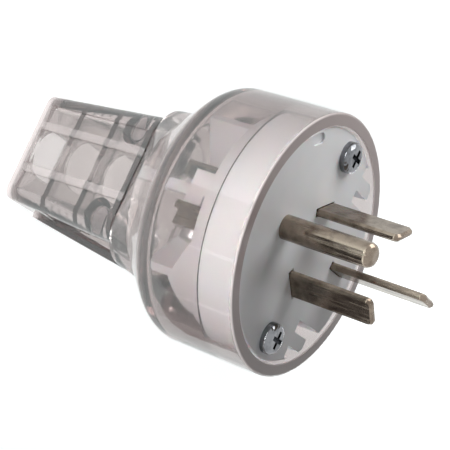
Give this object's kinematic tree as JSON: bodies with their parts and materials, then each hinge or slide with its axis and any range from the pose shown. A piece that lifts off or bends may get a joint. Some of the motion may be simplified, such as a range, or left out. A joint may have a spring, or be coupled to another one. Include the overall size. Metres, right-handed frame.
{
  "type": "electrical plug",
  "caption": "Clear-bodied electrical plug with flat blades at three angles, a round earth pin, a white contact carrier and a screwed cord clamp on a tapering neck.",
  "frame": {"origin": "centre of the flat cord end, which is the bottom of the whole part", "axes": "+Z runs along the plug towards the blades; -Y is the side of the earth pin and of the removable clamp jaw"},
  "size_m": [0.053, 0.053, 0.0896],
  "materials": {
    "clear_plastic": "clear moulded polycarbonate",
    "white_plastic": "white moulded nylon",
    "blade_metal": "nickel-plated brass",
    "screw_metal": "plated steel"
  },
  "bodies": {
    "root": {"clear_housing": "clear_plastic", "clamp_jaw": "clear_plastic", "contact_carrier": "white_plastic", "terminal_barrier": "white_plastic", "blade_left": "blade_metal", "blade_right": "blade_metal", "blade_lower": "blade_metal", "earth_pin": "blade_metal", "face_screw_left": "screw_metal", "face_screw_right": "screw_metal", "clamp_screw_left": "screw_metal", "clamp_screw_right": "screw_metal", "wire_plate_left": "blade_metal", "terminal_screw_left": "screw_metal", "wire_plate_right": "blade_metal", "terminal_screw_right": "screw_metal", "wire_plate_lower": "blade_metal", "terminal_screw_lower": "screw_metal", "wire_plate_earth": "blade_metal", "terminal_screw_earth": "screw_metal"}
  },
  "joints": []
}
